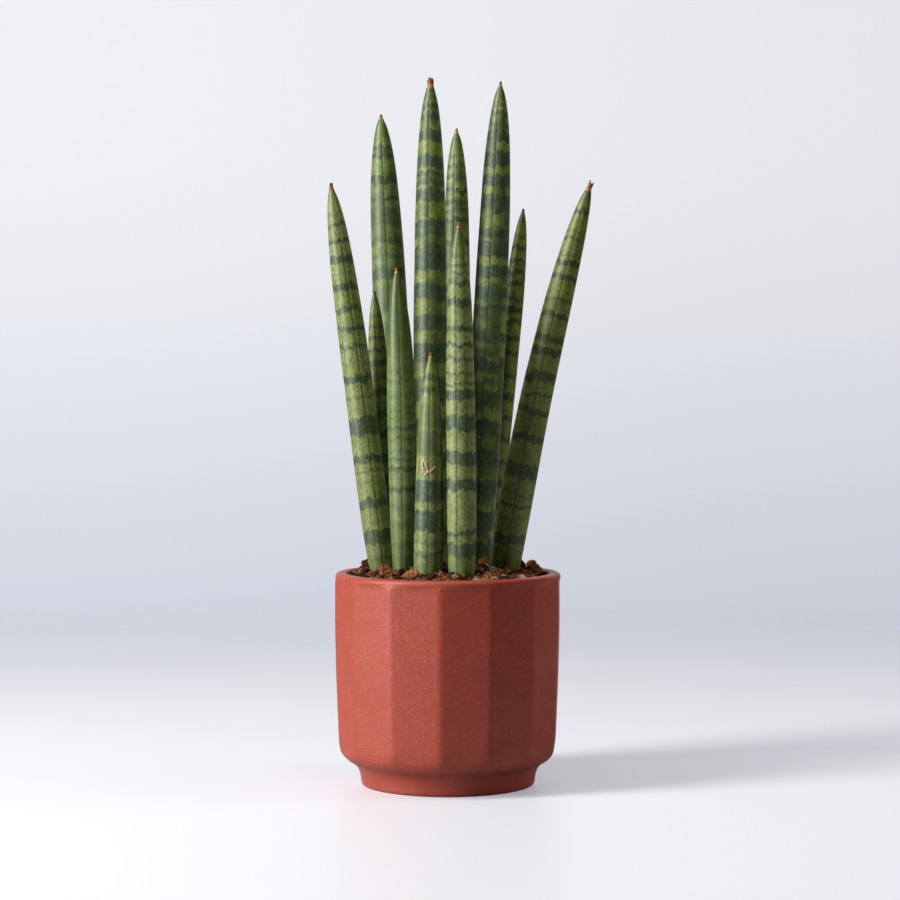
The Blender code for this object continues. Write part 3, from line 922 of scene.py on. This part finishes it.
def turn_profile(profile, steps):
    """A half section turned about Z, closed at its poles."""
    shape = bmesh.new()
    verts = [shape.verts.new((radius, 0.0, height)) for radius, height in profile]
    edges = [shape.edges.new(pair) for pair in zip(verts, verts[1:])]
    turn = {"cent": (0.0, 0.0, 0.0), "axis": (0.0, 0.0, 1.0), "angle": math.tau}
    bmesh.ops.spin(shape, geom=verts + edges, steps=steps, use_merge=True, **turn)
    bmesh.ops.remove_doubles(shape, verts=shape.verts, dist=0.000001)
    bmesh.ops.recalc_face_normals(shape, faces=shape.faces)
    return shape


def flatten_facets(shape):
    """Turn the round outer wall into fourteen flats with soft corners, which run out below the lip."""
    half = math.pi / FACETS
    outside = WALL_INNER_RADIUS + 0.0002
    for vert in shape.verts:
        radius = math.hypot(vert.co.x, vert.co.y)
        if radius < outside:
            continue
        direction = math.atan2(vert.co.y, vert.co.x)
        from_middle = (direction % (2.0 * half)) - half
        from_corner = math.hypot(half - abs(from_middle), CORNER_SOFTNESS)
        flat = CORNER_SHARE * math.cos(half) / math.cos(half - from_corner)
        amount = 1.0 - smoothstep(FACET_FULL, FACET_TOP, vert.co.z)
        amount *= smoothstep(BODY_BOTTOM, BODY_FULL, vert.co.z)
        factor = 1.0 + (flat - 1.0) * amount
        vert.co.x *= factor
        vert.co.y *= factor


def build_pot():
    shape = turn_profile(pot_profile(), POT_STEPS)
    flatten_facets(shape)
    turn = Matrix.Rotation(FACET_TURN, 3, "Z")
    bmesh.ops.rotate(shape, verts=shape.verts, cent=(0.0, 0.0, 0.0), matrix=turn)
    return finish_piece("pot_fired_clay", shape, clay_material(), "pot", sharp=50.0)


# Potting mix

BED_DROP = 0.0026             # the bed of fines lies this far below the lumps' level
# Scattered pieces: name, count, smallest and largest half width, crowding and fineness of the ball
HEAPS = (
    ("bark_chunks", 170, (0.0026, 0.0046), 0.70, 3),
    ("bark_and_pumice", 800, (0.0010, 0.0026), 0.60, 2),
    ("crumbs", 1500, (0.0004, 0.0010), 0.30, 1),
)
LUMP_SHARP = 28.0
MIX_SEED = 23


class Lump(NamedTuple):
    """A piece of bark or pumice that shows in front: middle, half width, tallness and tone."""

    place: tuple
    size: float
    tall: float
    tone: float


SHOWN_LUMPS = (
    Lump((-0.0550, 0.0290, 0.1440), 0.0038, 0.95, 0.42),
    Lump((-0.0548, -0.0040, 0.1405), 0.0052, 0.80, 0.66),
    Lump((-0.0600, 0.0080, 0.1400), 0.0044, 0.60, 0.42),
    Lump((-0.0395, -0.0330, 0.1440), 0.0054, 1.15, 0.64),
    Lump((-0.0500, -0.0240, 0.1415), 0.0040, 0.75, 0.50),
    Lump((-0.0450, -0.0420, 0.1400), 0.0038, 0.70, 0.55),
    Lump((-0.0235, -0.0470, 0.1425), 0.0058, 0.85, 0.68),
    Lump((-0.0320, -0.0480, 0.1400), 0.0036, 0.80, 0.24),
    Lump((-0.0160, -0.0480, 0.1415), 0.0040, 0.85, 0.22),
    Lump((-0.0030, -0.0480, 0.1420), 0.0036, 1.20, 0.60),
    Lump((-0.0070, -0.0560, 0.1400), 0.0034, 0.80, 0.50),
    Lump((0.0055, -0.0520, 0.1405), 0.0036, 0.75, 0.58),
    Lump((0.0185, -0.0560, 0.1400), 0.0048, 0.50, 0.88),
    Lump((0.0215, -0.0260, 0.1440), 0.0042, 0.90, 0.93),
    Lump((0.0260, -0.0340, 0.1425), 0.0040, 0.80, 0.70),
    Lump((0.0305, -0.0500, 0.1410), 0.0028, 0.90, 0.99),
    Lump((0.0345, -0.0290, 0.1430), 0.0052, 0.65, 0.54),
    Lump((0.0370, -0.0470, 0.1405), 0.0042, 0.60, 0.24),
    Lump((0.0430, -0.0400, 0.1410), 0.0040, 0.60, 0.46),
    Lump((0.0490, -0.0390, 0.1405), 0.0032, 0.80, 0.90),
    Lump((0.0570, -0.0240, 0.1400), 0.0040, 0.60, 0.34),
    Lump((0.0490, 0.0200, 0.1455), 0.0044, 0.95, 0.30),
    Lump((0.0565, 0.0130, 0.1448), 0.0058, 0.70, 0.60),
    Lump((0.0560, 0.0010, 0.1440), 0.0062, 0.62, 0.56),
    Lump((0.0580, -0.0115, 0.1424), 0.0056, 0.62, 0.62),
    Lump((0.0520, -0.0200, 0.1424), 0.0050, 0.64, 0.50),
    Lump((0.0520, -0.0310, 0.1410), 0.0042, 0.66, 0.40),
    Lump((0.0241, 0.0140, 0.1455), 0.0048, 0.95, 0.66),
    Lump((0.0280, -0.0240, 0.1440), 0.0032, 0.95, 1.00),
)


def mix_height(radius):
    """Height of the mix's domed surface at a distance from the pot's axis."""
    share = radius / WALL_INNER_RADIUS
    return POT_HEIGHT + MIX_CROWN + (MIX_EDGE - MIX_CROWN) * share * share


def build_bed(material):
    """The closed body of the mix, with a rough top of fines."""
    wall = WALL_INNER_RADIUS - GAP
    steps = 44
    crown = [(wall * step / steps, mix_height(wall * step / steps) - BED_DROP) for step in range(steps + 1)]
    round_floor = arc((wall - FLOOR_ROUND, FLOOR_HEIGHT + GAP + FLOOR_ROUND), FLOOR_ROUND, 0.0, -90.0, 6)
    shape = turn_profile(crown + round_floor + [(0.0, FLOOR_HEIGHT + GAP)], 132)
    tone = shape.verts.layers.float.new("tone")
    for vert in shape.verts:
        vert[tone] = 0.20
        radius = math.hypot(vert.co.x, vert.co.y)
        if vert.co.z > mix_height(radius) - BED_DROP - 0.0005 and radius < wall - 0.0006:
            vert.co.z += 0.0012 * noise.turbulence(vert.co * 320.0, 4, False) - 0.0004
    return finish_piece("potting_mix_bed", shape, material, "potting_mix")


def clear_of_leaves(x, y, size):
    """Is a lump here outside every leaf?"""
    for leaf in LEAVES.values():
        if math.hypot(x - leaf.root[0], y - leaf.root[1]) < leaf_radius(leaf, 0.0) + 0.75 * size:
            return False
    return True


def add_lump(heap, place, size, tall, tone, draw, detail):
    """Add a piece of bark or pumice to the heap: a ball cut by a few flats and roughened."""
    ball = bmesh.new()
    tone_layer = ball.verts.layers.float.new("tone")
    bmesh.ops.create_icosphere(ball, subdivisions=detail, radius=1.0)
    flats = []
    for number in range(9):
        normal = Vector([draw.gauss(0.0, 1.0) for part in range(3)]).normalized()
        flats.append((normal, draw.uniform(0.42, 0.78)))
    offset = Vector([draw.uniform(0.0, 50.0) for part in range(3)])
    widths = (size * draw.uniform(0.9, 1.25), size * draw.uniform(0.65, 1.0), size * tall)
    swing = Matrix.Rotation(draw.uniform(0.0, math.tau), 3, "Z")
    tumble = swing @ Matrix.Rotation(draw.uniform(-0.5, 0.5), 3, "X")
    for vert in ball.verts:
        spot = vert.co.copy()
        for normal, limit in flats:
            spot -= normal * max(spot.dot(normal) - limit, 0.0)
        spot *= 0.86 + 0.34 * noise.turbulence(spot * 2.4 + offset, 4, True, amplitude_scale=0.6)
        spot = Vector((spot.x * widths[0], spot.y * widths[1], spot.z * widths[2]))
        vert.co = tumble @ spot + Vector(place)
        vert[tone_layer] = tone
    mesh = new_mesh("lump", ball)
    heap.from_mesh(mesh)
    bpy.data.meshes.remove(mesh)


def new_heap():
    heap = bmesh.new()
    heap.verts.layers.float.new("tone")
    return heap


def draw_tone(draw):
    """Most lumps are brown, some nearly black, a few pale."""
    kind = draw.random()
    if kind < 0.30:
        return draw.uniform(0.05, 0.25)
    if kind < 0.86:
        return draw.uniform(0.28, 0.66)
    return draw.uniform(0.70, 0.96)


def scatter(heap, count, sizes, crowding, detail, draw, placed):
    """Strew lumps over the mix, clear of the leaves and of each other."""
    tries = 0
    done = 0
    while done < count and tries < count * 30:
        tries += 1
        size = sizes[0] + (sizes[1] - sizes[0]) * draw.random() ** 1.4
        radius = (WALL_INNER_RADIUS - 0.0008 - size) * math.sqrt(draw.random())
        angle = draw.uniform(0.0, math.tau)
        x, y = radius * math.cos(angle), radius * math.sin(angle)
        gaps = (math.hypot(x - far_x, y - far_y) - crowding * (size + far) for far_x, far_y, far in placed)
        if any(gap < 0.0 for gap in gaps) or not clear_of_leaves(x, y, size):
            continue
        placed.append((x, y, size))
        height = mix_height(radius) - 0.0012 + size * draw.uniform(-0.1, 0.5)
        add_lump(heap, (x, y, height), size, draw.uniform(0.6, 0.95), draw_tone(draw), draw, detail)
        done += 1


def build_lumps(material):
    draw = random.Random(MIX_SEED)
    placed = []
    heap = new_heap()
    for lump in SHOWN_LUMPS:
        add_lump(heap, lump.place, lump.size, lump.tall, lump.tone, draw, 4)
        placed.append((lump.place[0], lump.place[1], lump.size * 0.8))
    finish_piece("bark_and_pumice_in_front", heap, material, "potting_mix", LUMP_SHARP)
    for name, count, sizes, crowding, detail in HEAPS:
        heap = new_heap()
        scatter(heap, count, sizes, crowding, detail, draw, placed)
        finish_piece(name, heap, material, "potting_mix", LUMP_SHARP)


# Stage, lights and camera

CAMERA_PLACE = (0.00135, -1.695, 0.2788)
CAMERA_PITCH = math.radians(1.90)
CAMERA_LENS = 102.0
SENSOR_WIDTH = 36.0
FLOOR_RADIUS = 1.6


class Softbox(NamedTuple):
    """A soft light that looks at the plant's middle. Angles in degrees, lengths in metres."""

    side: float         # to the left of the camera
    height: float
    distance: float
    size: tuple
    power: float
    color: tuple
    mirrored: bool      # does it show in shiny surfaces?


# The fill is weak, like light thrown back by a wall. The top one is for the lip, the mix and the floor.
SOFTBOXES = {
    "key": Softbox(65.5, 24.0, 1.7, (0.45, 2.0), 46.0, (1.0, 0.985, 0.96), True),
    "fill": Softbox(-90.0, 12.0, 1.3, (0.6, 0.4), 4.3, (1.0, 0.98, 0.96), False),
    "top": Softbox(0.0, 80.0, 0.9, (0.6, 0.6), 1.6, (1.0, 1.0, 1.0), True),
}
LIT_MIDDLE = Vector((0.0, 0.0, 0.22))


def add_softbox(name, box):
    light = bpy.data.lights.new(name, "AREA")
    light.shape = "RECTANGLE"
    light.size, light.size_y = box.size
    light.energy = box.power
    light.color = box.color
    lamp = new_object(name, light)
    side = math.radians(box.side)
    height = math.radians(box.height)
    level = box.distance * math.cos(height)
    way = Vector((-level * math.sin(side), -level * math.cos(side), box.distance * math.sin(height)))
    lamp.location = LIT_MIDDLE + way
    lamp.rotation_euler = (-way).to_track_quat("-Z", "Y").to_euler()
    lamp.visible_glossy = box.mirrored


def build_world():
    """Pale bluish white where the camera sees it; for the light, bright behind and dim in front."""
    world = bpy.data.worlds.new("studio")
    bpy.context.scene.world = world
    world.use_nodes = True
    tree = world.node_tree
    tree.nodes.clear()
    way = add_node(tree, "TexCoord").outputs["Generated"]
    split = add_node(tree, "SeparateXYZ", Vector=way).outputs
    seen = blend_colors(tree, ease(tree, split[2], -0.16, 0.10), (0.61, 0.64, 0.74), (0.87, 0.88, 0.92))
    seen = shaded(tree, seen, split[0], -0.18, 0.20, 1.0, 0.90)
    glow = multiply(tree, ease(tree, split[1], 0.55, 1.0), ease(tree, split[2], 0.0, 0.35, 0.62, 1.0))
    light = blend_colors(tree, glow, (0.010, 0.010, 0.012), (0.74, 0.71, 0.72))
    camera_ray = add_node(tree, "LightPath").outputs["Is Camera Ray"]
    color = blend_colors(tree, camera_ray, light, seen)
    background = add_node(tree, "Background", Color=color)
    output = tree.nodes.new("ShaderNodeOutputWorld")
    tree.links.new(background.outputs[0], output.inputs[0])


def build_floor():
    shape = bmesh.new()
    bmesh.ops.create_circle(shape, cap_ends=True, segments=96, radius=FLOOR_RADIUS)
    mesh = new_mesh("floor", shape)
    material, tree, shader, place = new_material("pale_floor")
    away = add_node(tree, "VectorMath", {"operation": "LENGTH"}, Vector=place).outputs["Value"]
    connect(tree, ease(tree, away, 0.35, FLOOR_RADIUS * 0.95, 1.0, 0.0), shader["Alpha"])
    bounce = add_node(tree, "LightPath").outputs["Is Diffuse Ray"]
    connect(tree, blend_colors(tree, bounce, (0.76, 0.77, 0.80), (0.22, 0.22, 0.23)), shader["Base Color"])
    seen = add_node(tree, "LightPath").outputs["Is Camera Ray"]
    connect(tree, blend_colors(tree, seen, (0.0, 0.0, 0.0), (0.27, 0.28, 0.32)), shader["Emission Color"])
    shader["Emission Strength"].default_value = 1.0
    shader["Roughness"].default_value = 0.38
    shader["Specular IOR Level"].default_value = 0.25
    mesh.materials.append(material)
    floor = new_object("floor", mesh)


def build_camera():
    data = bpy.data.cameras.new("camera")
    data.lens = CAMERA_LENS
    data.sensor_width = SENSOR_WIDTH
    data.clip_start = 0.01
    camera = new_object("camera", data)
    camera.location = CAMERA_PLACE
    camera.rotation_euler = (0.5 * math.pi - CAMERA_PITCH, 0.0, 0.0)
    bpy.context.scene.camera = camera


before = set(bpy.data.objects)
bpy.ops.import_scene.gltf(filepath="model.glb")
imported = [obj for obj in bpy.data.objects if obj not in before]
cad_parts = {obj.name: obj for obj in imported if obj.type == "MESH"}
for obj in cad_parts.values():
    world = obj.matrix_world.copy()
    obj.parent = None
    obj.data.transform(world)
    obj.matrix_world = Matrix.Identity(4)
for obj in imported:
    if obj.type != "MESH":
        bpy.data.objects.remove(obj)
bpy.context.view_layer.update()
MARKS = markings_group()
ONE_BAND = band_group()

build_camera()
build_world()
build_floor()
for light_name, softbox in SOFTBOXES.items():
    add_softbox(light_name, softbox)
bpy.context.scene.view_settings.view_transform = "Standard"

for leaf_name, leaf_shape in LEAVES.items():
    build_leaf(leaf_name, leaf_shape, MARKINGS[leaf_name])
build_scar()
build_pot()
bark = bark_material()
build_bed(bark)
build_lumps(bark)
